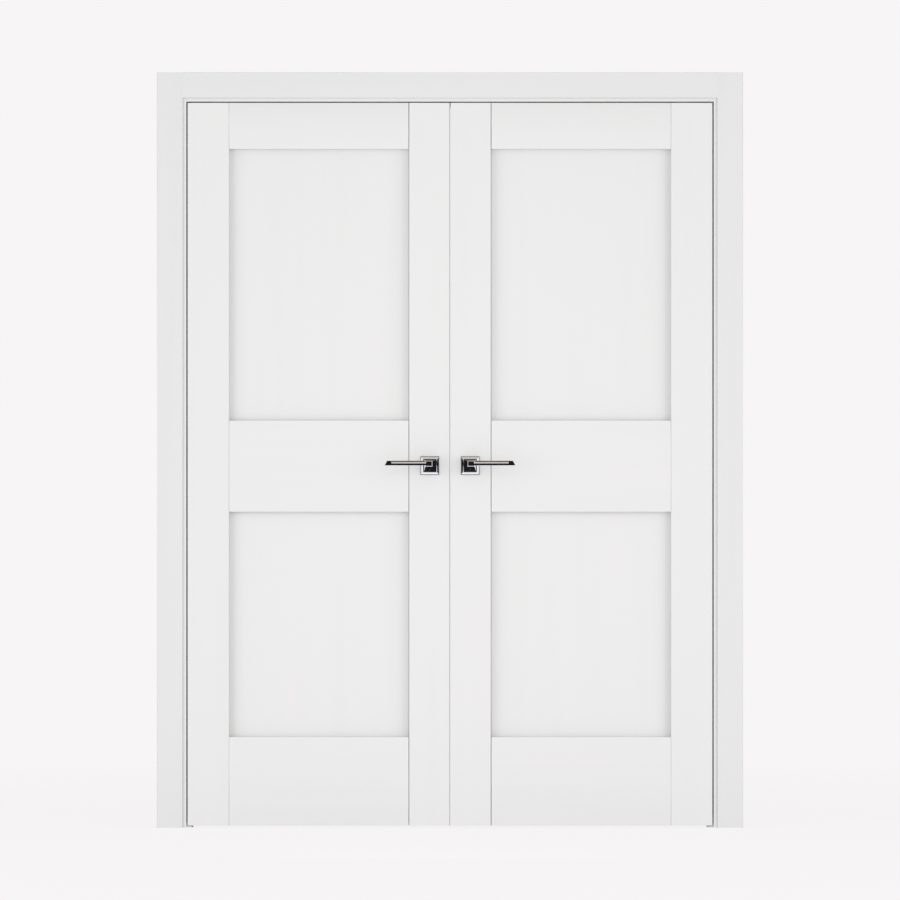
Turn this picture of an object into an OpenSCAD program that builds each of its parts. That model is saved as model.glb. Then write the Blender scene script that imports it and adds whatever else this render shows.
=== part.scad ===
// French doors: a pair of two-panel leaves in a rebated frame with flat casings on both sides.
// The leaves swing to the front on pivots hidden in their top and bottom edges.
// The right leaf carries the lock, the left leaf is held by flush bolts.

/* [Leaves] */
// Width of each leaf
leaf_w = 733.5; // [600:0.5:900]
// Height of each leaf
leaf_h = 2024; // [1950:1:2400]
// Thickness of each leaf
leaf_t = 44; // [38:0.5:45]
// Width of the hinge stiles
stile_w = 116; // [105:1:150]
// Width of the meeting stiles
meeting_w = 113; // [105:1:150]
// Height of the top rail
top_rail_h = 129; // [90:1:180]
// Height of the lock rail
lock_rail_h = 255; // [230:1:300]
// Height of the bottom rail
bottom_rail_h = 247.5; // [150:0.5:300]
// Height of the lower panel's opening
lower_light_h = 631.5; // [590:0.5:680]
// Thickness of the flat panels
panel_t = 10; // [8:0.5:14]
// Depth of the groove that holds a panel or a rail's tenon
groove_d = 10; // [6:0.5:14]
// Room for a panel to move at the bottom of its groove
panel_play = 1; // [0.5:0.1:2]
// Bevel on the edges of the stiles and on the ends of the rails
edge_bevel = 1; // [0.5:0.1:2]
// Shadow gap between the meeting stile and the rails and panels
joint_gap = 1.2; // [0.3:0.1:1.5]
// Depth of the shadow gap beside a panel
quirk_d = 3; // [1:0.5:3.5]

/* [Gaps] */
// Gap between the two leaves
meeting_gap = 3; // [2.5:0.1:4]
// Gap between a leaf and its jamb
side_gap = 3.5; // [3.2:0.1:5]
// Gap between the leaves and the head
head_gap = 3.5; // [2:0.1:5]
// Gap between the leaves and the floor
floor_gap = 6; // [6:0.5:12]
// Gap between the back of the leaves and the stop
stop_gap = 4; // [4:0.1:6]

/* [Frame] */
// Depth of the frame between its two edges
frame_depth = 116; // [90:1:160]
// Thickness of the jambs and the head
jamb_t = 32; // [28:0.5:40]
// Height of the planted stops above the lining
stop_h = 12; // [10:0.5:15]
// Strip of the frame's edge that shows beside the casing
reveal = 10; // [5:0.5:12]
// Width of the casings
casing_w = 72; // [60:1:100]
// Thickness of the casings
casing_t = 12; // [10:0.5:18]
// How far the casings stand proud of the frame's edges
casing_step = 3.5; // [2:0.5:6]
// Radius on the casings' front edges
casing_r = 0.7; // [0.5:0.1:3]
// Thickness of the casings' tongue
tongue_t = 5; // [4:0.5:6]
// Length of the casings' tongue
tongue_l = 12; // [8:0.5:16]
// Distance of the tongue from the casing's inner edge
tongue_inset = 6; // [4:0.5:8]
// Side clearance of the tongue in its groove
tongue_clear = 0.2; // [0.1:0.05:0.4]
// Radius of the rubber seal's bulb
seal_r = 2; // [1.5:0.1:2.2]
// Width and depth of the rubber seal's root
seal_root = 3; // [2:0.1:3.5]
// Diameter of the fixing holes in the jambs
fixing_d = 6; // [5:0.1:8]
// Distance of the fixing holes from the leaf's back face
fixing_back = 12; // [8:0.5:16]
// Height of the lowest fixing hole
fixing_low = 200; // [150:10:400]
// Distance of the highest fixing hole below the leaf's top edge
fixing_high = 150; // [120:10:400]

/* [Pivots] */
// Distance of the pivot's axis from the leaf's hinge edge
pivot_in = 10; // [9:0.5:12]
// Distance of the pivot's axis from the leaf's front face
pivot_back = 8; // [7:0.5:8.5]
// Diameter of the pivot pins
pin_d = 7; // [5:0.5:7]
// Length of a pivot pin inside its bush
pin_depth = 12; // [8:0.5:20]
// Outside diameter of the pivot bushes
bush_d = 10; // [9:0.5:12]
// Length of the pivot bushes
bush_h = 20; // [20:0.5:30]
// Width of the pivot plates and brackets
bracket_w = 12; // [10:0.5:12]
// Thickness of the pivot plates and brackets
bracket_t = 3; // [2:0.5:4]
// Height of the foot bracket's upright leg
bracket_h = 70; // [40:1:100]
// Length of the head pivot's plate
plate_l = 64; // [40:1:100]
// Thickness of the thrust washers
washer_t = 1.5; // [1:0.1:2]

/* [Handles] */
// Height of the lever's axis above the floor
handle_h = 1014; // [950:1:1080]
// Distance of the lever's axis from the leaf's meeting edge
backset = 55; // [50:0.5:60]
// Side of the square rose
rose_w = 52; // [50:0.5:60]
// Thickness of the rose
rose_t = 9; // [6:0.5:12]
// Thickness of the rose's foot, below its bevelled rim
rose_foot = 3; // [2:0.5:4]
// Width of the ledge that the foot leaves round the rim
rose_ledge = 1.5; // [1:0.5:3]
// Width of the rose's bevelled rim
rose_rim = 6; // [3:0.5:7]
// Diameter of the lever's journal in the rose
journal_d = 20; // [18:0.5:24]
// Side of the low pyramid at the lever's foot
collar_w = 32; // [30:0.5:38]
// Height of the low pyramid
collar_h = 4; // [4:0.5:6]
// Width of the lever's hub
hub_w = 19.5; // [15:0.5:20]
// Height of the lever's hub
hub_h = 16; // [14:0.5:18]
// How far the hub's middle lies above the lever's axis
hub_rise = 5.75; // [4:0.25:6]
// How far the hub's middle lies outboard of the lever's axis
hub_shift = 2.5; // [0:0.5:4]
// Bevel round the hub's front
hub_bevel = 1.5; // [1:0.5:3]
// Distance of the lever's front from the leaf's face
lever_reach = 56; // [48:0.5:70]
// Length of the lever from its axis to its tip
lever_l = 126; // [100:1:140]
// Height of the lever's bar
bar_h = 13; // [11:0.5:14]
// Thickness of the lever's bar
bar_t = 12; // [8:0.5:14]
// Height of the bar's front face, below its bevel
bar_face = 5.5; // [4:0.5:6]
// Height and depth of the bevel between the bar's front face and its upper lip
bar_bevel = 4.5; // [3:0.5:4.5]
// Length of the plain tip, where the bevel stops
tip_l = 19; // [14:0.5:24]
// How far the bar's top edge stops short of its tip
tip_slant = 7; // [0:0.5:12]
// Side of the square spindle
spindle_w = 8; // [7:0.5:10]
// Metal left between the spindle's end and the top of the low pyramid
spindle_cover = 2; // [2:0.5:3]
// Diameter of the spindle's hole in the leaf
spindle_hole_d = 14; // [13.5:0.5:18]

/* [Lock] */
// Height of the lock's case
case_h = 160; // [120:1:180]
// Depth of the lock's case
case_l = 80; // [72:1:85]
// Thickness of the lock's case
case_t = 16; // [14:0.5:18]
// Diameter of the lock's follower
follower_d = 18; // [14:0.5:24]
// Height of the lock's faceplate
face_h = 196; // [182:1:230]
// Height of the strike plate
strike_h = 98; // [70:1:120]
// Height of the lock's middle above the lever's axis
face_rise = 24; // [20:1:28]
// Width of the faceplate and the strike plate
face_w = 20; // [18:0.5:22]
// Thickness of the faceplate, the strike plate and the bolt plates
face_t = 3; // [2:0.5:4]
// Height of the magnetic tongue
tongue_h = 30; // [20:1:40]
// Thickness of the magnetic tongue
tongue_w = 10; // [8:0.5:12]
// Length of the magnetic tongue
tongue_len = 36; // [30:1:40]
// Travel of the magnetic tongue
tongue_throw = 10; // [6:0.5:12]
// Distance of the tongue's middle above the lever's axis
tongue_rise = 48; // [40:1:52]
// Thickness of the strike's magnet
magnet_t = 4; // [2:0.5:5]

/* [Flush bolts] */
// Height of a flush bolt's plate
bolt_plate_h = 160; // [120:1:200]
// Distance of the plate's middle from the end of the leaf
bolt_inset = 230; // [150:1:300]
// Diameter of the bolt's rod
rod_d = 10; // [8:0.5:12]
// Distance of the rod's axis from the leaf's meeting edge
rod_in = 16; // [14:0.5:20]
// Height of the bolt's thumb slide
thumb_h = 30; // [20:1:40]
// Width of the bolt's thumb slide
thumb_w = 10; // [8:0.5:12]
// Travel of a flush bolt
bolt_throw = 15; // [10:1:20]
// Length of the head bolt's keeper plate
keeper_l = 28; // [20:1:30]
// Width of the head bolt's keeper plate
keeper_w = 22; // [18:1:30]
// Room round the rod in the keeper's square hole
keeper_play = 2; // [1:0.5:2]

/* [Meeting seal] */
// Width and depth of the seal's root in the left leaf's meeting edge
strip_root = 3; // [2:0.1:4]
// How far the seal stands out of the meeting edge
strip_proud = 1.7; // [0.5:0.1:1.8]
// Distance of the seal's middle from the leaf's front face
strip_in = 6; // [4:0.5:8]

/* [Hidden] */
$fn = 48;
// Clearance of a shaft that turns or slides in its bore, on the radius
run_clear = 0.05;
// Clearance of a fixed piece in its recess
seat_clear = 0.1;
// Clearance of a flat piece that slides in its slot
slide_clear = 0.3;
// Overrun of a cut past the face that it opens
over = 1;
// Small gap that keeps a hidden moving end behind its face
set_back = 0.5;
// Depth of the strike's pocket, for the thrown tongue and the magnet behind it
pocket_d = tongue_throw + magnet_t;
// Length of the spindle inside each lever
spindle_in = rose_t + collar_h - spindle_cover;

// Lines across the doors, for the right half
x_meet = meeting_gap / 2;
x_hinge = x_meet + leaf_w;
x_jamb = x_hinge + side_gap;
x_stop = x_jamb - stop_h;
x_casing = x_jamb + reveal;
x_pivot = x_hinge - pivot_in;
x_hub = x_meet + backset;
x_rod = x_meet + rod_in;
rail_l = leaf_w - stile_w - meeting_w;
x_rail = x_meet + meeting_w;

// Lines up the doors
z_top = floor_gap + leaf_h;
z_head = z_top + head_gap;
z_frame = z_head + jamb_t;
z_casing = z_head + reveal;
z_crown = z_casing + casing_w;
z_lower = floor_gap + bottom_rail_h;
z_lock = z_lower + lower_light_h;
z_upper = z_lock + lock_rail_h;
z_rail_top = z_top - top_rail_h;
upper_light_h = z_rail_top - z_upper;
z_tongue = handle_h + tongue_rise;
z_face = handle_h + face_rise;

// Lines from front to back, with the middle of the overall depth at zero
y_front = (lever_reach - frame_depth - casing_step) / 2;
y_mid = y_front + leaf_t / 2;
y_leaf = y_front + leaf_t;
y_shoulder = y_leaf + stop_gap;
y_back = y_front + frame_depth;
// The wall's two faces, which carry the casings
casing_sink = casing_t - casing_step;
y_wall = y_front + casing_sink;
wall_t = frame_depth - 2 * casing_sink;
y_pivot = y_front + pivot_back;
y_strip = y_front + strip_in;
y_fixing = y_leaf - fixing_back;
// Fixing holes up each jamb, at equal steps
fixings = 4;
fixing_step = (z_top - fixing_high - fixing_low) / (fixings - 1);

// The foot bracket's arm lies under the washer that carries the leaf, just off the floor
floor_clear = 1;
z_arm = floor_gap - washer_t - seat_clear;
arm_t = z_arm - floor_clear;

WHITE = "#eeedec";
JAMB_WHITE = "#e8e8e6";
CHROME = "#b9bcc0";
STEEL = "#9a9da1";
RUBBER = "#8b8d88";
BRASS = "#b08d57";

SIDES = ["left", "right"];
FACES = ["front", "back"];

// Draws its children, made for the right half, on the named side
module on_side(side) {
    mirror([side == "left" ? 1 : 0, 0, 0]) children();
}

// Draws its children, made for the front of a leaf, on the named face of the leaf
module on_face(face) {
    turn = face == "back" ? 1 : 0;
    translate([0, turn * 2 * y_mid, 0]) mirror([0, turn, 0]) children();
}

// Draws its children, made for the bottom of a leaf, at the named end of the leaf
module on_end(end) {
    turn = end == "top" ? 1 : 0;
    translate([0, 0, turn * (floor_gap + z_top)]) mirror([0, 0, turn]) children();
}

// Extrudes an outline drawn across and up, from its place towards the front
module extrude_front(depth) {
    rotate([90, 0, 0]) linear_extrude(depth) children();
}

// Extrudes an outline drawn from front to back and up, along the doors' width
module extrude_across(length) {
    rotate([90, 0, 90]) linear_extrude(length) children();
}

// A strip with round ends, drawn about its middle
module stadium(w, h) {
    square([w, h - w], center = true);
    for (end = [-1, 1]) translate([0, end * (h - w) / 2]) circle(d = w);
}

// Outline of a jamb or the head: a board with a nib that shows beside each casing, and a groove for
// each casing's tongue
// The first axis runs out from the board's inner face, the second from front to back
module board_outline() {
    groove_w = tongue_t + 2 * tongue_clear;
    groove_l = tongue_l + tongue_clear;
    translate([0, y_front]) square([reveal, frame_depth]);
    difference() {
        translate([0, y_wall]) square([jamb_t, wall_t]);
        for (edge = [y_wall - over, y_wall + wall_t - groove_l])
            translate([reveal + tongue_inset - tongue_clear, edge]) square([groove_w, groove_l + over]);
    }
}

// Outline of a planted stop, with a groove for the seal in its front edge
module stop_outline() {
    difference() {
        translate([-stop_h, y_shoulder]) square([stop_h, y_back - y_shoulder]);
        translate([-stop_h / 2 - seal_root / 2, y_shoulder - over]) square([seal_root, seal_root + over]);
    }
}

// Outline of a casing with its tongue, laid on the wall beside the front nib
module casing_outline() {
    difference() {
        translate([reveal, y_wall - casing_t]) square([casing_w, casing_t]);
        for (edge = [0, 1]) translate([reveal + edge * casing_w, y_wall - casing_t])
            mirror([edge, 0]) eased_corner();
    }
    translate([reveal + tongue_inset, y_wall - over]) square([tongue_t, tongue_l + over]);
}

// What a rounded corner takes off a square one
module eased_corner() {
    difference() {
        translate([-over, -over]) square(casing_r + over);
        translate([casing_r, casing_r]) circle(r = casing_r);
    }
}

// Outline of the seal: a root in its groove and a half-round bulb
module seal_outline() {
    translate([-stop_h / 2, y_shoulder]) {
        translate([-seal_root / 2, 0]) square(seal_root);
        intersection() {
            circle(r = seal_r);
            translate([-seal_r, -seal_r]) square([2 * seal_r, seal_r]);
        }
    }
}

// Stands an outline of the frame up along a jamb
module up_jamb(height) {
    translate([x_jamb, 0, 0]) linear_extrude(height) children();
}

// Lays an outline of the frame along the head, between two ends
module along_head(half_length) {
    translate([-half_length, 0, z_head]) rotate([0, 90, 0])
        linear_extrude(2 * half_length) mirror([1, 0]) children();
}

module jamb(side) {
    color(JAMB_WHITE) on_side(side) difference() {
        up_jamb(z_frame) board_outline();
        for (k = [0 : fixings - 1]) translate([x_jamb - over, y_fixing, fixing_low + k * fixing_step])
            rotate([0, 90, 0]) cylinder(d = fixing_d, h = jamb_t + 2 * over);
        translate([x_jamb - over, y_pivot - bracket_w / 2, 0])
            cube([bracket_t + over, bracket_w, floor_clear + bracket_h]);
        for (face = FACES) on_frame_face(face) translate([x_jamb - over, y_front - over, z_casing])
            cube([reveal + 2 * over, casing_sink + over, z_frame]);
    }
}

module jamb_head() {
    color(JAMB_WHITE) difference() {
        along_head(x_jamb) board_outline();
        for (side = SIDES) on_side(side)
            translate([x_pivot + bracket_w / 2 - plate_l, y_pivot - bracket_w / 2, z_head - over])
                cube([plate_l, bracket_w, bracket_t + over]);
        on_side("left") translate([x_rod, y_mid, z_head - over]) {
            keeper_hole(bolt_throw + over);
            translate([-keeper_l / 2, -keeper_w / 2, 0]) cube([keeper_l, keeper_w, face_t + over]);
        }
    }
}

module stop(side) {
    color(JAMB_WHITE) on_side(side) up_jamb(z_head) stop_outline();
}

module stop_head() {
    color(JAMB_WHITE) along_head(x_stop) stop_outline();
}

module seal(side) {
    color(RUBBER) on_side(side) up_jamb(z_head) seal_outline();
}

module seal_head() {
    color(RUBBER) along_head(x_stop) seal_outline();
}

// Draws its children, made for the front casing, on the named face of the frame
module on_frame_face(face) {
    turn = face == "back" ? 1 : 0;
    translate([0, turn * (y_front + y_back), 0]) mirror([0, turn, 0]) children();
}

// A casing's upright piece, with a square inner edge where the head piece butts against it
module casing_leg(side, face) {
    color(WHITE) on_side(side) on_frame_face(face) {
        difference() {
            up_jamb(z_crown) casing_outline();
            translate([x_casing, y_wall, z_frame]) cube([casing_w, tongue_l + over, z_crown]);
        }
        translate([x_casing, y_wall - casing_t, z_casing]) cube([casing_r, casing_r, casing_w]);
    }
}

module casing_head(face) {
    color(WHITE) on_frame_face(face) difference() {
        along_head(x_casing) casing_outline();
        for (side = SIDES) on_side(side)
            translate([x_jamb, y_wall, z_casing]) cube([reveal + over, tongue_l + over, casing_w]);
    }
}

module head_pivot(side) {
    color(STEEL) on_side(side) {
        translate([x_pivot + bracket_w / 2 - plate_l, y_pivot - bracket_w / 2, z_head])
            cube([plate_l, bracket_w, bracket_t]);
        translate([x_pivot, y_pivot, z_top - pin_depth])
            cylinder(d = pin_d, h = pin_depth + head_gap + bracket_t);
    }
}

module foot_bracket(side) {
    color(STEEL) on_side(side) {
        translate([x_jamb, y_pivot - bracket_w / 2, floor_clear])
            cube([bracket_t, bracket_w, bracket_h]);
        translate([x_pivot, y_pivot - bracket_w / 2, floor_clear])
            cube([x_jamb + bracket_t - x_pivot, bracket_w, arm_t]);
        translate([x_pivot, y_pivot, floor_clear]) {
            cylinder(d = bracket_w, h = arm_t);
            cylinder(d = pin_d, h = floor_gap + pin_depth - floor_clear);
        }
    }
}

module thrust_washer(side) {
    color(BRASS) on_side(side) translate([x_pivot, y_pivot, z_arm]) difference() {
        cylinder(d = bracket_w, h = washer_t);
        translate([0, 0, -over]) cylinder(d = pin_d + 2 * run_clear, h = washer_t + 2 * over);
    }
}

module bolt_keeper() {
    color(STEEL) on_side("left") translate([x_rod, y_mid, z_head]) difference() {
        translate([-keeper_l / 2, -keeper_w / 2, 0]) cube([keeper_l, keeper_w, face_t]);
        translate([0, 0, -over]) keeper_hole(face_t + 2 * over);
    }
}

// The square hole that the head bolt is thrown into
module keeper_hole(depth) {
    hole_w = rod_d + 2 * keeper_play;
    translate([-hole_w / 2, -hole_w / 2, 0]) cube([hole_w, hole_w, depth]);
}

// Plan of a stile, with its plain edge at zero and its grooved edge outward
module stile_outline(width) {
    half = leaf_t / 2;
    difference() {
        polygon([
            [0, edge_bevel - half], [edge_bevel, -half],
            [width - edge_bevel, -half], [width, edge_bevel - half],
            [width, half - edge_bevel], [width - edge_bevel, half],
            [edge_bevel, half], [0, half - edge_bevel]
        ]);
        translate([width - groove_d, -panel_t / 2]) square([groove_d + over, panel_t]);
    }
}

module hinge_stile(side) {
    color(WHITE) on_side(side) difference() {
        translate([x_hinge, y_mid, floor_gap]) mirror([1, 0, 0])
            linear_extrude(leaf_h) stile_outline(stile_w);
        for (end = ["bottom", "top"]) on_end(end) translate([x_pivot, y_pivot, floor_gap - over])
            cylinder(d = bush_d + 2 * run_clear, h = bush_h + over);
    }
}

module meeting_stile(side) {
    color(WHITE) on_side(side) difference() {
        translate([x_meet, y_mid, floor_gap]) linear_extrude(leaf_h) stile_outline(meeting_w);
        translate([x_hub, y_leaf + over, handle_h])
            extrude_front(leaf_t + 2 * over) circle(d = spindle_hole_d);
        if (side == "right") lock_room();
        if (side == "left") keeper_room();
    }
}

// Room in the right leaf's meeting stile for the lock
module lock_room() {
    translate([x_meet - over, y_mid, z_face])
        extrude_across(face_t + over) stadium(face_w + 2 * seat_clear, face_h + 2 * seat_clear);
    translate([x_meet, y_mid - case_t / 2, z_face - case_h / 2])
        cube([face_t + case_l + seat_clear, case_t, case_h]);
}

// Room in the left leaf's meeting stile for the strike, the flush bolts and the seal
module keeper_room() {
    translate([x_meet - over, y_mid, z_tongue]) {
        extrude_across(face_t + over) stadium(face_w + 2 * seat_clear, strike_h + 2 * seat_clear);
        translate([0, -slot_w() / 2, -slot_h() / 2])
            cube([over + face_t + pocket_d, slot_w(), slot_h()]);
    }
    for (end = ["bottom", "top"]) on_end(end) bolt_room();
    translate([x_meet - over, y_strip - strip_root / 2, floor_gap - over])
        cube([strip_root + over, strip_root, leaf_h + 2 * over]);
}

// Slot that the magnetic tongue passes through
function slot_w() = tongue_w + 2 * slide_clear;
function slot_h() = tongue_h + 2 * slide_clear;

// Slot that the thumb slide of a flush bolt moves in
function thumb_slot_h() = thumb_h + bolt_throw + 2 * slide_clear;
function thumb_slot_w() = max(thumb_w, rod_d) + 2 * slide_clear;
// Top of the thumb slide of the bottom bolt, which moves down
function thumb_top() = floor_gap + bolt_inset + thumb_slot_h() / 2 - slide_clear;

module bolt_room() {
    translate([x_meet - over, y_mid, floor_gap + bolt_inset]) {
        extrude_across(face_t + over) stadium(face_w + 2 * seat_clear, bolt_plate_h + 2 * seat_clear);
        translate([0, -thumb_slot_w() / 2, -thumb_slot_h() / 2])
            cube([over + rod_in + rod_d / 2 + slide_clear, thumb_slot_w(), thumb_slot_h()]);
    }
    translate([x_rod, y_mid, floor_gap - over])
        cylinder(d = rod_d + 2 * run_clear, h = over + bolt_inset);
}

// A rail with tenons on both ends, grooved on the edges that hold a panel
module rail(side, z, h, grooves) {
    half = leaf_t / 2;
    bevel_side = edge_bevel * sqrt(2);
    tenon_low = len(search(0, grooves)) * groove_d;
    tenon_high = len(search(1, grooves)) * groove_d;
    color(WHITE) on_side(side) translate([x_rail, y_mid, z]) {
        difference() {
            translate([joint_gap, half, 0]) extrude_front(leaf_t) square([rail_l - joint_gap, h]);
            for (edge = grooves) translate([-over, -panel_t / 2, edge * h - groove_d])
                cube([rail_l + 2 * over, panel_t, 2 * groove_d]);
            for (end = [joint_gap, rail_l], face = [-half, half]) translate([end, face, h / 2])
                rotate(45) cube([bevel_side, bevel_side, h + 2 * over], center = true);
        }
        translate([-groove_d, -panel_t / 2, tenon_low])
            cube([rail_l + 2 * groove_d, panel_t, h - tenon_low - tenon_high]);
    }
}

// A flat panel held in the grooves round its opening, with a shadow gap along the meeting stile
module panel(side, z, h) {
    reach = groove_d - panel_play;
    color(WHITE) on_side(side) difference() {
        translate([x_rail - reach, y_mid - panel_t / 2, z - reach])
            cube([rail_l + 2 * reach, panel_t, h + 2 * reach]);
        for (face = [-1, 1]) translate([x_rail + joint_gap / 2, y_mid + face * panel_t / 2, z + h / 2])
            cube([joint_gap, 2 * quirk_d, h], center = true);
    }
}

module pivot_bushes(side) {
    color(BRASS) on_side(side) for (end = ["bottom", "top"]) on_end(end)
        translate([x_pivot, y_pivot, floor_gap]) difference() {
            cylinder(d = bush_d, h = bush_h);
            translate([0, 0, -over]) cylinder(d = pin_d + 2 * run_clear, h = bush_h + 2 * over);
        }
}

// Draws its children at the lever's axis on a face of a leaf
// There the first axis runs outboard, the second up and the third away from the leaf
module at_handle(side, face) {
    on_side(side) on_face(face) translate([x_hub, y_front, handle_h]) rotate([90, 0, 0]) children();
}

// A frustum between two rectangles, with the middle of the far one shifted
module frustum(near_size, far_size, shift, length) {
    near = near_size / 2;
    low = shift - far_size / 2;
    high = shift + far_size / 2;
    polyhedron(
        points = [
            [-near.x, -near.y, 0], [near.x, -near.y, 0], [near.x, near.y, 0], [-near.x, near.y, 0],
            [low.x, low.y, length], [high.x, low.y, length],
            [high.x, high.y, length], [low.x, high.y, length]
        ],
        faces = [
            [0, 1, 2, 3], [4, 7, 6, 5], [0, 4, 5, 1], [1, 5, 6, 2], [2, 6, 7, 3], [3, 7, 4, 0]
        ]
    );
}

module rose(side, face) {
    rim_w = rose_w - 2 * rose_ledge;
    top_w = rim_w - 2 * rose_rim;
    color(CHROME) at_handle(side, face) difference() {
        union() {
            translate([-rose_w / 2, -rose_w / 2, 0]) cube([rose_w, rose_w, rose_foot]);
            translate([0, 0, rose_foot])
                frustum([rim_w, rim_w], [top_w, top_w], [0, 0], rose_t - rose_foot);
        }
        translate([0, 0, -over]) cylinder(d = journal_d + 2 * run_clear, h = rose_t + 2 * over);
    }
}

module lever(side, face) {
    bar_back = lever_reach - bar_t;
    collar_start = rose_t + slide_clear;
    hub_start = collar_start + collar_h;
    color(CHROME) at_handle(side, face) difference() {
        union() {
            translate([0, 0, slide_clear]) cylinder(d = journal_d, h = rose_t + over);
            translate([0, 0, collar_start])
                frustum([collar_w, collar_w], [hub_w, hub_h], [hub_shift, hub_rise], collar_h);
            translate([hub_shift, hub_rise, hub_start]) hub(lever_reach - hub_start);
            translate([hub_shift, hub_rise + hub_h / 2 - bar_h, bar_back]) bar(lever_l - hub_shift);
        }
        translate([-spindle_w / 2, -spindle_w / 2, -over])
            cube([spindle_w, spindle_w, spindle_in + over]);
    }
}

// The post that carries the bar, with a bevel round its front
module hub(length) {
    straight = length - hub_bevel;
    front_size = [hub_w - 2 * hub_bevel, hub_h - 2 * hub_bevel];
    translate([-hub_w / 2, -hub_h / 2, 0]) cube([hub_w, hub_h, straight]);
    translate([0, 0, straight]) frustum([hub_w, hub_h], front_size, [0, 0], hub_bevel);
}

// The bar that the hand takes, with its back lower edge at zero
// A bevel runs from its front face back to a narrow upper lip, and stops short of the slanted tip
module bar(length) {
    lip = bar_t - bar_bevel;
    extrude_across(length - tip_l) polygon([
        [0, 0], [0, bar_t], [bar_face, bar_t], [bar_face + bar_bevel, lip], [bar_h, lip], [bar_h, 0]
    ]);
    linear_extrude(bar_t) polygon([
        [length - tip_l, 0], [length, 0], [length - tip_slant, bar_h], [length - tip_l, bar_h]
    ]);
}

module spindle(side) {
    color(STEEL) on_side(side)
        translate([x_hub - spindle_w / 2, y_front - spindle_in, handle_h - spindle_w / 2])
            cube([spindle_w, leaf_t + 2 * spindle_in, spindle_w]);
}

module lock_case() {
    color(STEEL) translate([x_meet + face_t, y_mid, handle_h]) difference() {
        translate([0, -case_t / 2, face_rise - case_h / 2]) cube([case_l, case_t, case_h]);
        translate([backset - face_t, case_t / 2 + over, 0])
            extrude_front(case_t + 2 * over) circle(d = follower_d + 2 * run_clear);
        translate([-over, -slot_w() / 2, tongue_rise - slot_h() / 2])
            cube([over + tongue_len, slot_w(), slot_h()]);
    }
}

module lock_faceplate() {
    color(CHROME) translate([x_meet, y_mid, handle_h]) difference() {
        translate([0, 0, face_rise]) extrude_across(face_t) stadium(face_w, face_h);
        translate([-over, -slot_w() / 2, tongue_rise - slot_h() / 2])
            cube([face_t + 2 * over, slot_w(), slot_h()]);
    }
}

module lock_follower() {
    color(STEEL) translate([x_hub, y_mid + case_t / 2, handle_h]) difference() {
        translate([0, -slide_clear, 0])
            extrude_front(case_t - 2 * slide_clear) circle(d = follower_d);
        translate([-spindle_w / 2, -case_t - over, -spindle_w / 2])
            cube([spindle_w, case_t + 2 * over, spindle_w]);
    }
}

module lock_tongue() {
    color(CHROME)
        translate([x_meet + set_back, y_mid - tongue_w / 2, z_tongue - tongue_h / 2])
            cube([tongue_len, tongue_w, tongue_h]);
}

module strike_plate() {
    color(CHROME) on_side("left") translate([x_meet, y_mid, z_tongue]) difference() {
        extrude_across(face_t) stadium(face_w, strike_h);
        translate([-over, -slot_w() / 2, -slot_h() / 2])
            cube([face_t + 2 * over, slot_w(), slot_h()]);
    }
}

module strike_magnet() {
    color(STEEL) on_side("left")
        translate([x_meet + face_t + pocket_d - magnet_t, y_mid - tongue_w / 2, z_tongue - tongue_h / 2])
            cube([magnet_t, tongue_w, tongue_h]);
}

module meeting_seal() {
    color(WHITE) on_side("left")
        translate([x_meet - strip_proud, y_strip - strip_root / 2, floor_gap])
            cube([strip_proud + strip_root, strip_root, leaf_h]);
}

module bolt_plate(end) {
    color(CHROME) on_side("left") on_end(end)
        translate([x_meet, y_mid, floor_gap + bolt_inset]) difference() {
            extrude_across(face_t) stadium(face_w, bolt_plate_h);
            translate([-over, -thumb_slot_w() / 2, -thumb_slot_h() / 2])
                cube([face_t + 2 * over, thumb_slot_w(), thumb_slot_h()]);
        }
}

module bolt_rod(end) {
    color(CHROME) on_side("left") on_end(end) {
        translate([x_meet + set_back, y_mid - thumb_w / 2, thumb_top() - thumb_h])
            cube([rod_in - set_back, thumb_w, thumb_h]);
        translate([x_rod, y_mid, floor_gap + set_back])
            cylinder(d = rod_d, h = thumb_top() - floor_gap - set_back);
    }
}

for (side = SIDES) {
    jamb(side);
    stop(side);
    seal(side);
    head_pivot(side);
    foot_bracket(side);
    thrust_washer(side);
    hinge_stile(side);
    meeting_stile(side);
    rail(side, z_rail_top, top_rail_h, [0]);
    rail(side, z_lock, lock_rail_h, [0, 1]);
    rail(side, floor_gap, bottom_rail_h, [1]);
    panel(side, z_upper, upper_light_h);
    panel(side, z_lower, lower_light_h);
    pivot_bushes(side);
    spindle(side);
    for (face = FACES) {
        casing_leg(side, face);
        rose(side, face);
        lever(side, face);
    }
}
for (face = FACES) {
    casing_head(face);
}
for (end = ["top", "bottom"]) {
    bolt_plate(end);
    bolt_rod(end);
}
jamb_head();
stop_head();
seal_head();
bolt_keeper();
lock_case();
lock_faceplate();
lock_follower();
lock_tongue();
strike_plate();
strike_magnet();
meeting_seal();
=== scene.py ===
"""Looks of the french doors: finishes, fasteners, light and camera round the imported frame."""
import math

import bmesh
import bpy
from mathutils import Matrix, Vector


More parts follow.
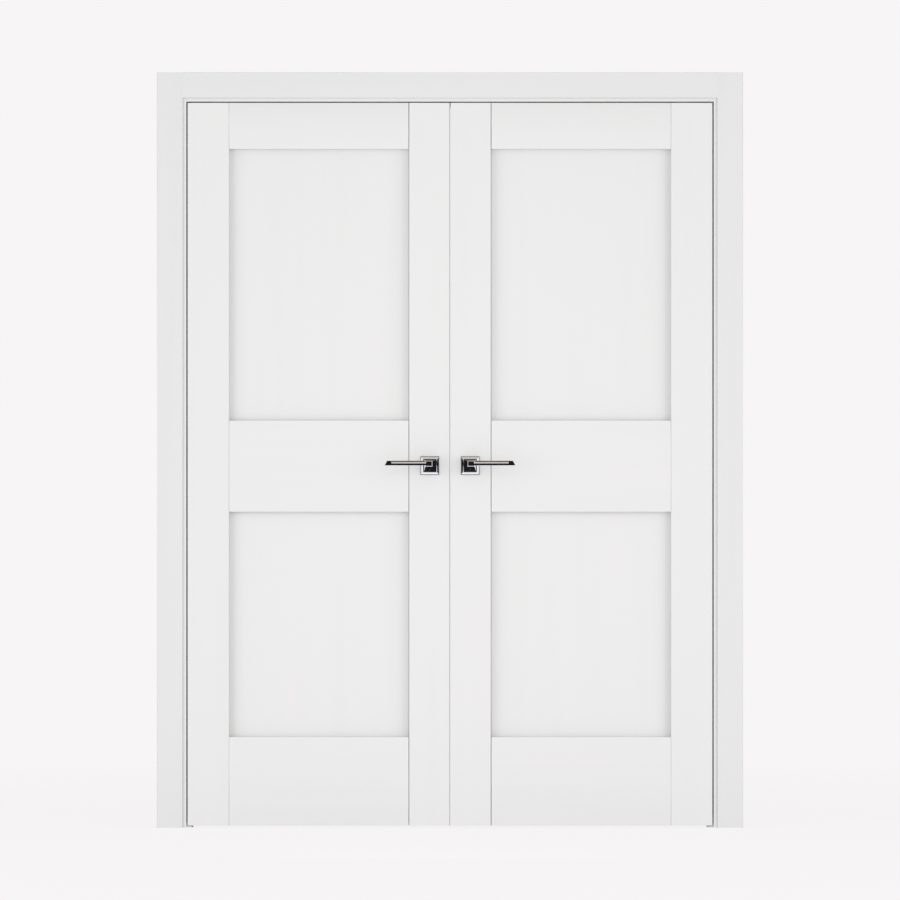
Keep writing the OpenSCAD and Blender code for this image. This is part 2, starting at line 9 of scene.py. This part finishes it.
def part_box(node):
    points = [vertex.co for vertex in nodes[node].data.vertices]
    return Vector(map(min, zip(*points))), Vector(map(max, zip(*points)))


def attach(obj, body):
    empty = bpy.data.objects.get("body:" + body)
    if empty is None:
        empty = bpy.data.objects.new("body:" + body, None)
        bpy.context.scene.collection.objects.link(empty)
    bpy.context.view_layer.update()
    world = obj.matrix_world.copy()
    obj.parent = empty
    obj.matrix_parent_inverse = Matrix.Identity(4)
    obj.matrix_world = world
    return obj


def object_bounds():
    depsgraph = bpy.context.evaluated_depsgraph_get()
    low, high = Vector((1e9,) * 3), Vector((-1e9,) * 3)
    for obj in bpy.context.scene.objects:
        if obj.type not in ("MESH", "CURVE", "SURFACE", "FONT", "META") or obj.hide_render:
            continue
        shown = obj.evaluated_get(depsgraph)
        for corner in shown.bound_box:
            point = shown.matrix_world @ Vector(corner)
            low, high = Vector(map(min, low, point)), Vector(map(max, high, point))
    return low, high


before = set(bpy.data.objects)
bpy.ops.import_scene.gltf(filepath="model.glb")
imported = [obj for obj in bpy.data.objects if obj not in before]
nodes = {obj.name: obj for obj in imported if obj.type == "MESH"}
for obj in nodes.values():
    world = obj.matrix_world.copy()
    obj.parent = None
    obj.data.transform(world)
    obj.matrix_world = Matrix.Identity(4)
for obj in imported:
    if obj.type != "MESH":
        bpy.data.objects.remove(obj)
cad_low, cad_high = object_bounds()

MM = 0.001
SIDES = ("left", "right")
FACES = ("front", "back")
DOWN = (0.0, 0.0, -1.0)

# Colours, linear
LEAF_WHITE = (0.74, 0.738, 0.737)
FRAME_WHITE = (0.71, 0.71, 0.709)
WARM_TINT = (1.0, 0.99, 0.992)
COOL_TINT = (0.99, 0.997, 0.993)
STRIP_WHITE = (0.80, 0.80, 0.79)
RUBBER_GREY = (0.30, 0.30, 0.29)
CHROME_TINT = (0.92, 0.92, 0.93)
STEEL_TINT = (0.56, 0.57, 0.59)
BRASS_TINT = (0.72, 0.52, 0.27)
FLOOR_WHITE = (0.90, 0.89, 0.895)
BACKDROP = (0.930, 0.913, 0.922)

# Cards that polished metal mirrors beside the background: a dark room in front and behind, a warm ceiling
DARK_ROOM = (0.012, 0.012, 0.016)
CEILING = (0.61, 0.575, 0.535)
CARD_AWAY = 3.0
CARD_HALF = 5.0
CARDS = (
    ("front_room", (0.0, -1.0, 0.0), DARK_ROOM),
    ("back_room", (0.0, 1.0, 0.0), DARK_ROOM),
    ("ceiling", (0.0, 0.0, 1.0), CEILING),
)

# Light: the share that comes from all round, and the lamps with their place, width, height and share
AMBIENT = 0.785
LAMPS = (
    ("left", (-4.6, -3.0, 1.4), 3.4, 3.6, 0.165),
    ("right", (4.6, -3.0, 1.4), 3.4, 3.6, 0.165),
    ("front", (0.0, -1.3, 1.0), 0.8, 3.2, 0.16),
)

# The photograph's frame: it is square, and the doors' middle is its middle
PICTURE_W = 2.52
CAMERA_DISTANCE = 16.0
SENSOR = 36.0


# Materials

def new_material(name):
    """A material with a principled shader, and its node tree."""
    material = bpy.data.materials.new(name)
    material.use_nodes = True
    tree = material.node_tree
    return material, tree, tree.nodes["Principled BSDF"]


def stretched_noise(tree, scale, detail, roughness=0.5):
    """A noise over the object's own coordinates, with its own scale along each axis, per metre."""
    place = tree.nodes.new("ShaderNodeTexCoord")
    mapping = tree.nodes.new("ShaderNodeMapping")
    mapping.inputs["Scale"].default_value = scale
    noise = tree.nodes.new("ShaderNodeTexNoise")
    noise.inputs["Scale"].default_value = 1.0
    noise.inputs["Detail"].default_value = detail
    noise.inputs["Roughness"].default_value = roughness
    tree.links.new(place.outputs["Object"], mapping.inputs["Vector"])
    tree.links.new(mapping.outputs["Vector"], noise.inputs["Vector"])
    return noise.outputs["Fac"]


def ramp(tree, value, stops):
    """A colour ramp over a value, from a list of (position, colour)."""
    node = tree.nodes.new("ShaderNodeValToRGB")
    elements = node.color_ramp.elements
    while len(elements) < len(stops):
        elements.new(0.5)
    for element, (position, colour) in zip(elements, stops):
        element.position = position
        element.color = (*colour, 1.0)
    tree.links.new(value, node.inputs["Fac"])
    return node.outputs["Color"]


def spread(tree, value, low, high):
    """A noise value mapped from its usual middle range to low and high."""
    node = tree.nodes.new("ShaderNodeMapRange")
    node.inputs["From Min"].default_value = 0.3
    node.inputs["From Max"].default_value = 0.7
    node.inputs["To Min"].default_value = low
    node.inputs["To Max"].default_value = high
    tree.links.new(value, node.inputs["Value"])
    return node.outputs["Result"]


def bump(tree, shader, height, distance, strength=1.0):
    """Raises the surface by a height value times a distance, on top of any bump already there."""
    node = tree.nodes.new("ShaderNodeBump")
    node.inputs["Strength"].default_value = strength
    node.inputs["Distance"].default_value = distance
    tree.links.new(height, node.inputs["Height"])
    if shader.inputs["Normal"].is_linked:
        tree.links.new(shader.inputs["Normal"].links[0].from_socket, node.inputs["Normal"])
    tree.links.new(node.outputs["Normal"], shader.inputs["Normal"])


def tinted(colour, tint, level=1.0):
    """A colour times a tint, brighter or darker by a level."""
    return tuple(c * t * level for c, t in zip(colour, tint))


def paint(name, colour, along):
    """Satin paint on wood, with the faint streaks of its grain along one axis, 0 for X or 2 for Z."""
    material, tree, shader = new_material(name)
    streak_scale = [26.0, 26.0, 26.0]
    streak_scale[along] = 0.9
    grain_scale = [420.0, 420.0, 420.0]
    grain_scale[along] = 9.0
    streaks = stretched_noise(tree, streak_scale, 3.0)
    grain = stretched_noise(tree, grain_scale, 4.0)
    peel = stretched_noise(tree, (900.0, 900.0, 900.0), 2.0)
    colours = ramp(tree, streaks, [
        (0.32, tinted(colour, COOL_TINT, 0.995)),
        (0.5, colour),
        (0.68, tinted(colour, WARM_TINT, 1.005)),
    ])
    tree.links.new(colours, shader.inputs["Base Color"])
    tree.links.new(spread(tree, streaks, 0.40, 0.48), shader.inputs["Roughness"])
    shader.inputs["Specular IOR Level"].default_value = 0.35
    bump(tree, shader, grain, 0.04 * MM, 0.5)
    bump(tree, shader, peel, 0.02 * MM, 0.5)
    return material


def plated(name, colour, smooth, worn):
    """Polished plating: a mirror with the faint haze and fine rub marks of handling."""
    material, tree, shader = new_material(name)
    haze = stretched_noise(tree, (90.0, 90.0, 90.0), 4.0)
    rubs = stretched_noise(tree, (60.0, 1800.0, 1800.0), 2.0)
    colours = ramp(tree, haze, [(0.3, tinted(colour, (0.96, 0.96, 0.97))), (0.7, colour)])
    tree.links.new(colours, shader.inputs["Base Color"])
    tree.links.new(spread(tree, haze, smooth, worn), shader.inputs["Roughness"])
    shader.inputs["Metallic"].default_value = 1.0
    bump(tree, shader, rubs, 0.004 * MM, 0.4)
    return material


def brushed(name, colour, along):
    """Brushed or drawn metal, with its lines along one axis."""
    material, tree, shader = new_material(name)
    line_scale = [1500.0, 1500.0, 1500.0]
    line_scale[along] = 30.0
    lines = stretched_noise(tree, line_scale, 3.0)
    clouds = stretched_noise(tree, (70.0, 70.0, 70.0), 3.0)
    colours = ramp(tree, clouds, [(0.3, tinted(colour, (0.9, 0.9, 0.9))), (0.7, colour)])
    tree.links.new(colours, shader.inputs["Base Color"])
    tree.links.new(spread(tree, lines, 0.26, 0.42), shader.inputs["Roughness"])
    shader.inputs["Metallic"].default_value = 1.0
    bump(tree, shader, lines, 0.01 * MM, 0.5)
    return material


def moulded(name, colour, roughness, grit):
    """Extruded rubber or plastic, slightly cloudy, with a fine matt skin."""
    material, tree, shader = new_material(name)
    clouds = stretched_noise(tree, (40.0, 40.0, 6.0), 3.0)
    skin = stretched_noise(tree, (2600.0, 2600.0, 2600.0), 2.0)
    colours = ramp(tree, clouds, [(0.3, tinted(colour, (0.9, 0.9, 0.9))), (0.7, colour)])
    tree.links.new(colours, shader.inputs["Base Color"])
    tree.links.new(spread(tree, clouds, roughness - 0.05, roughness + 0.05), shader.inputs["Roughness"])
    bump(tree, shader, skin, grit, 0.5)
    return material


LEAF_UPRIGHT = paint("leaf_paint_upright", LEAF_WHITE, 2)
LEAF_ACROSS = paint("leaf_paint_across", LEAF_WHITE, 0)
FRAME_UPRIGHT = paint("frame_paint_upright", FRAME_WHITE, 2)
FRAME_ACROSS = paint("frame_paint_across", FRAME_WHITE, 0)
CHROME = plated("polished_chrome", CHROME_TINT, 0.03, 0.09)
SATIN = plated("satin_chrome", CHROME_TINT, 0.28, 0.38)
STEEL = brushed("zinc_steel", STEEL_TINT, 2)
BRASS = brushed("turned_brass", BRASS_TINT, 2)
RUBBER = moulded("seal_rubber", RUBBER_GREY, 0.75, 0.01 * MM)
SCREW = brushed("screw_steel", STEEL_TINT, 1)
COATED = moulded("bracket_coating", FRAME_WHITE, 0.45, 0.005 * MM)
STRIP = moulded("meeting_strip", STRIP_WHITE, 0.55, 0.01 * MM)


# Dressing of the frame's own nodes

def dress(names, material, edge=0.0):
    """Gives nodes their finish, and softens their sharp edges by a small bevel."""
    for name in names:
        part = nodes[name]
        part.data.materials.clear()
        part.data.materials.append(material)
        part.data.normals_split_custom_set([(0.0, 0.0, 0.0)] * len(part.data.loops))
        part.data.polygons.foreach_set("use_smooth", [True] * len(part.data.polygons))
        weld = part.modifiers.new("weld", "WELD")
        weld.merge_threshold = 0.002 * MM
        flatten = part.modifiers.new("flatten", "DECIMATE")
        flatten.decimate_type = "DISSOLVE"
        flatten.angle_limit = math.radians(0.5)
        if edge:
            bevel = part.modifiers.new("edge", "BEVEL")
            bevel.width = edge
            bevel.segments = 2
            bevel.limit_method = "ANGLE"
            bevel.angle_limit = math.radians(30)
            bevel.use_clamp_overlap = False
        part.modifiers.new("normals", "WEIGHTED_NORMAL")


BOARD_EDGE = 0.4 * MM
METAL_EDGE = 0.3 * MM
UPRIGHT_BOARDS = ("hinge_stile", "meeting_stile", "upper_panel", "lower_panel")
CROSS_BOARDS = ("top_rail", "lock_rail", "bottom_rail")
dress([f"{board}_{side}" for board in UPRIGHT_BOARDS for side in SIDES], LEAF_UPRIGHT)
dress([f"{board}_{side}" for board in CROSS_BOARDS for side in SIDES], LEAF_ACROSS)
dress([f"{board}_{side}" for board in ("jamb", "stop") for side in SIDES], FRAME_UPRIGHT, BOARD_EDGE)
dress(["jamb_head", "stop_head"], FRAME_ACROSS, BOARD_EDGE)
dress([f"casing_{face}_{side}" for face in FACES for side in SIDES], FRAME_UPRIGHT)
dress([f"casing_{face}_head" for face in FACES], FRAME_ACROSS)
dress([f"seal_{place}" for place in (*SIDES, "head")], RUBBER)
dress(["meeting_seal"], STRIP)
dress([f"{piece}_{face}_{side}" for piece in ("rose", "lever") for face in FACES for side in SIDES],
      CHROME, METAL_EDGE)
dress(["lock_faceplate", "strike_plate", "bolt_plate_top", "bolt_plate_bottom", "lock_tongue",
       "bolt_rod_top", "bolt_rod_bottom"], SATIN)
dress([f"{piece}_{side}" for piece in ("head_pivot", "spindle") for side in SIDES], STEEL)
dress([f"foot_bracket_{side}" for side in SIDES], COATED)
dress(["lock_case", "lock_follower", "strike_magnet", "bolt_keeper"], STEEL)
dress([f"{piece}_{side}" for piece in ("thrust_washer", "pivot_bushes") for side in SIDES], BRASS)


# Screws

def outlined(mesh, points):
    """A closed outline of edges through points."""
    corners = [mesh.verts.new(point) for point in points]
    return [mesh.edges.new((a, b)) for a, b in zip(corners, corners[1:] + corners[:1])]


def ring(radius, count):
    """Points round a circle, or the corners of a hexagon."""
    turns = [math.tau * k / count for k in range(count)]
    return [(radius * math.cos(t), radius * math.sin(t)) for t in turns]


def cross(reach, half_width):
    """The outline of a cross-shaped recess."""
    quarter = [(reach, -half_width), (reach, half_width), (half_width, half_width)]
    turns = [(1, 0), (0, 1), (-1, 0), (0, -1)]
    return [(x * c - y * s, x * s + y * c) for c, s in turns for x, y in quarter]


def sunk(mesh, edges, drop):
    """Draws an outline down into the metal and returns its lower edges."""
    drawn = bmesh.ops.extrude_edge_only(mesh, edges=edges)["geom"]
    corners = [item for item in drawn if isinstance(item, bmesh.types.BMVert)]
    bmesh.ops.translate(mesh, verts=corners, vec=(0.0, 0.0, -drop))
    return [item for item in drawn if isinstance(item, bmesh.types.BMEdge)]


def screw(name, body, place, out, radius, recess, proud):
    """A screw's head at a place on a face, which looks out. It stands a little proud of the face, and has a
    recess for the key."""
    ease, facets = 0.15 * MM, 32
    shape = bmesh.new()
    rim = outlined(shape, [(x, y, proud - ease) for x, y in ring(radius, facets)])
    crown = outlined(shape, [(x, y, proud) for x, y in ring(radius - ease, facets)])
    key = outlined(shape, [(x, y, proud) for x, y in recess])
    bmesh.ops.triangle_fill(shape, edges=crown + key, use_beauty=True)
    bmesh.ops.bridge_loops(shape, edges=rim + crown)
    sunk(shape, rim, proud)
    bmesh.ops.triangle_fill(shape, edges=sunk(shape, key, radius / 2), use_beauty=True)
    bmesh.ops.recalc_face_normals(shape, faces=shape.faces)
    data = bpy.data.meshes.new(name)
    shape.to_mesh(data)
    shape.free()
    data.materials.append(SCREW)
    head = bpy.data.objects.new(name, data)
    bpy.context.scene.collection.objects.link(head)
    turn = Vector(out).to_track_quat("Z", "Y").to_matrix().to_4x4()
    head.matrix_world = Matrix.Translation(place) @ turn
    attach(head, body)


def cross_screw(name, body, place, out, radius):
    """A screw with a cross-shaped recess."""
    proud = 0.25 * MM
    screw(name, body, place, out, radius, cross(0.6 * radius, 0.14 * radius), proud)


def make_plate_screws():
    """Two cross-slot screws in each plate that is let into the leaves' meeting edges."""
    radius, end_inset = 3.2 * MM, 11 * MM
    plates = {
        "lock_faceplate": "leaf_right", "strike_plate": "leaf_left",
        "bolt_plate_top": "leaf_left", "bolt_plate_bottom": "leaf_left",
    }
    for plate, leaf in plates.items():
        low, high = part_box(plate)
        depth = (low.y + high.y) / 2
        edge, way = (low.x, -1.0) if leaf == "leaf_right" else (high.x, 1.0)
        for end, level in (("low", low.z + end_inset), ("high", high.z - end_inset)):
            cross_screw(f"{plate}_screw_{end}", leaf, (edge, depth, level), (way, 0.0, 0.0), radius)


def make_keeper_screws():
    """Two small screws in the head bolt's keeper."""
    radius, inset = 2.2 * MM, 3.4 * MM
    low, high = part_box("bolt_keeper")
    for end, x in (("left", low.x + inset), ("right", high.x - inset)):
        cross_screw(f"keeper_screw_{end}", "frame", (x, (low.y + high.y) / 2, low.z), DOWN, radius)


def make_pivot_screws():
    """Two screws in each head pivot and in each foot bracket."""
    radius, plate_t = 2.8 * MM, 3 * MM
    insets, levels = (9 * MM, 32 * MM), (34 * MM, 58 * MM)
    for side, way in (("left", -1.0), ("right", 1.0)):
        low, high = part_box(f"head_pivot_{side}")
        inner = high.x if side == "left" else low.x
        for number, inset in enumerate(insets):
            place = (inner + way * inset, (low.y + high.y) / 2, high.z - plate_t)
            cross_screw(f"head_pivot_screw_{side}_{number}", "frame", place, DOWN, radius)
        low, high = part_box(f"foot_bracket_{side}")
        face = low.x + plate_t if side == "left" else high.x - plate_t
        for number, level in enumerate(levels):
            place = (face, (low.y + high.y) / 2, level)
            cross_screw(f"foot_bracket_screw_{side}_{number}", "frame", place, (-way, 0.0, 0.0), radius)


def make_grub_screws():
    """A socket screw in the lower slope of each lever's foot, which holds the lever on its spindle."""
    radius, key_r, proud, drop = 2.0 * MM, 1.1 * MM, 0.05 * MM, 10.5 * MM
    # The slope runs from the foot's lower edge on the rose up to the hub's lower side
    foot_half, foot_h, foot_gap, hub_low = 16 * MM, 4 * MM, 0.3 * MM, 2.25 * MM
    slope = math.atan2(foot_h, foot_half - hub_low)
    rise = foot_gap + (foot_half - drop) * math.tan(slope)
    for side in SIDES:
        low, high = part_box(f"spindle_{side}")
        axis = (low + high) / 2
        for face, way in (("front", -1.0), ("back", 1.0)):
            rose_low, rose_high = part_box(f"rose_{face}_{side}")
            rose_face = rose_low.y if face == "front" else rose_high.y
            place = (axis.x, rose_face + way * rise, axis.z - drop)
            out = (0.0, way * math.cos(slope), -math.sin(slope))
            screw(f"grub_screw_{face}_{side}", f"lever_{side}", place, out, radius, ring(key_r, 6), proud)


make_plate_screws()
make_keeper_screws()
make_pivot_screws()
make_grub_screws()


# Stage, light and camera

middle = (cad_low + cad_high) / 2


def largest(tree, *values):
    """The largest of several values."""
    result = values[0]
    for value in values[1:]:
        node = tree.nodes.new("ShaderNodeMath")
        node.operation = "MAXIMUM"
        tree.links.new(result, node.inputs[0])
        tree.links.new(value, node.inputs[1])
        result = node.outputs["Value"]
    return result


def mixed(tree, share, first, second):
    """A mix of two shaders, where a share of 1 is the second. The share is a number or a node's output."""
    node = tree.nodes.new("ShaderNodeMixShader")
    if isinstance(share, float):
        node.inputs["Fac"].default_value = share
    else:
        tree.links.new(share, node.inputs["Fac"])
    tree.links.new(first, node.inputs[1])
    tree.links.new(second, node.inputs[2])
    return node.outputs["Shader"]


def glow_of(tree, colour):
    """The light of a surface that glows in a colour by itself."""
    node = tree.nodes.new("ShaderNodeEmission")
    node.inputs["Color"].default_value = (*colour, 1.0)
    return node.outputs["Emission"]


def floor_material(near, far):
    """A pale sheet of about the background's colour, which still takes a soft shadow: most of the light
    that it sends out is its own. From near to far, measured from the doors' foot, it fades out into the
    background."""
    own_light = 0.87
    material, tree, shader = new_material("studio_floor")
    shader.inputs["Base Color"].default_value = (*FLOOR_WHITE, 1.0)
    shader.inputs["Roughness"].default_value = 1.0
    shader.inputs["Specular IOR Level"].default_value = 0.0
    sheet = mixed(tree, own_light, shader.outputs["BSDF"], glow_of(tree, BACKDROP))
    place = tree.nodes.new("ShaderNodeTexCoord")
    length = tree.nodes.new("ShaderNodeVectorMath")
    length.operation = "LENGTH"
    tree.links.new(place.outputs["Object"], length.inputs[0])
    fade = tree.nodes.new("ShaderNodeMapRange")
    fade.interpolation_type = "SMOOTHSTEP"
    fade.inputs["From Min"].default_value = near
    fade.inputs["From Max"].default_value = far
    tree.links.new(length.outputs["Value"], fade.inputs["Value"])
    clear = tree.nodes.new("ShaderNodeBsdfTransparent")
    faded = mixed(tree, fade.outputs["Result"], sheet, clear.outputs["BSDF"])
    tree.links.new(faded, tree.nodes["Material Output"].inputs["Surface"])
    return material


def aim(thing, target):
    """Turns a card, lamp or camera to look at a point."""
    thing.rotation_euler = (Vector(target) - thing.location).to_track_quat("-Z", "Y").to_euler()


def make_sheet(name, half, material):
    """A level square sheet that belongs to the stage, with its middle at the origin."""
    mesh = bpy.data.meshes.new(name)
    corners = [(-half, -half, 0.0), (half, -half, 0.0), (half, half, 0.0), (-half, half, 0.0)]
    mesh.from_pydata(corners, [], [(0, 1, 2, 3)])
    mesh.materials.append(material)
    sheet = bpy.data.objects.new(name, mesh)
    bpy.context.scene.collection.objects.link(sheet)
    return sheet


def make_floor():
    """The pale floor that the doors stand on. Metal mirrors the background in its place."""
    near, far = 1.2, 4.0
    floor = make_sheet("floor", far, floor_material(near, far))
    floor.visible_glossy = False


def make_card(name, way, colour):
    """A large card on one side of the doors, which looks at their middle. Only gloss sees it."""
    material, tree, _ = new_material(name)
    tree.links.new(glow_of(tree, colour), tree.nodes["Material Output"].inputs["Surface"])
    card = make_sheet(name, CARD_HALF, material)
    card.location = middle + CARD_AWAY * Vector(way)
    aim(card, middle)
    card.visible_camera = False
    card.visible_diffuse = False
    card.visible_transmission = False
    card.visible_shadow = False


def make_world():
    """Even light all round, and the backdrop to the eye and to gloss."""
    world = bpy.data.worlds.new("studio")
    bpy.context.scene.world = world
    world.use_nodes = True
    tree = world.node_tree
    shown = tree.nodes["Background"]
    shown.inputs["Color"].default_value = (*BACKDROP, 1.0)
    light = tree.nodes.new("ShaderNodeBackground")
    light.inputs["Color"].default_value = (1.0, 1.0, 1.0, 1.0)
    light.inputs["Strength"].default_value = AMBIENT
    path = tree.nodes.new("ShaderNodeLightPath")
    seen = largest(tree, path.outputs["Is Camera Ray"], path.outputs["Is Glossy Ray"],
                   path.outputs["Is Transmission Ray"])
    whole = mixed(tree, seen, light.outputs["Background"], shown.outputs["Background"])
    tree.links.new(whole, tree.nodes["World Output"].inputs["Surface"])


def make_lamp(name, place, width, height, share):
    """A soft panel light that gives the doors' front this share of plain daylight. No gloss mirrors it."""
    lamp = bpy.data.lights.new(name, "AREA")
    lamp.shape = "RECTANGLE"
    lamp.size = width
    lamp.size_y = height
    carrier = bpy.data.objects.new(name, lamp)
    bpy.context.scene.collection.objects.link(carrier)
    carrier.location = place
    aim(carrier, middle)
    carrier.visible_glossy = False
    way = middle - Vector(place)
    slant = way.normalized().y
    lamp.energy = share * math.pi ** 2 * way.length ** 2 / slant


def make_camera():
    """A long lens straight in front, level with the doors' middle."""
    lens = bpy.data.cameras.new("camera")
    camera = bpy.data.objects.new("camera", lens)
    bpy.context.scene.collection.objects.link(camera)
    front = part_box("casing_front_head")[0].y
    camera.location = (middle.x, front - CAMERA_DISTANCE, middle.z)
    aim(camera, middle)
    lens.sensor_width = SENSOR
    lens.lens = SENSOR * CAMERA_DISTANCE / PICTURE_W
    bpy.context.scene.camera = camera


make_floor()
make_world()
for card in CARDS:
    make_card(*card)
for lamp in LAMPS:
    make_lamp(*lamp)
make_camera()
bpy.context.scene.view_settings.view_transform = "Standard"
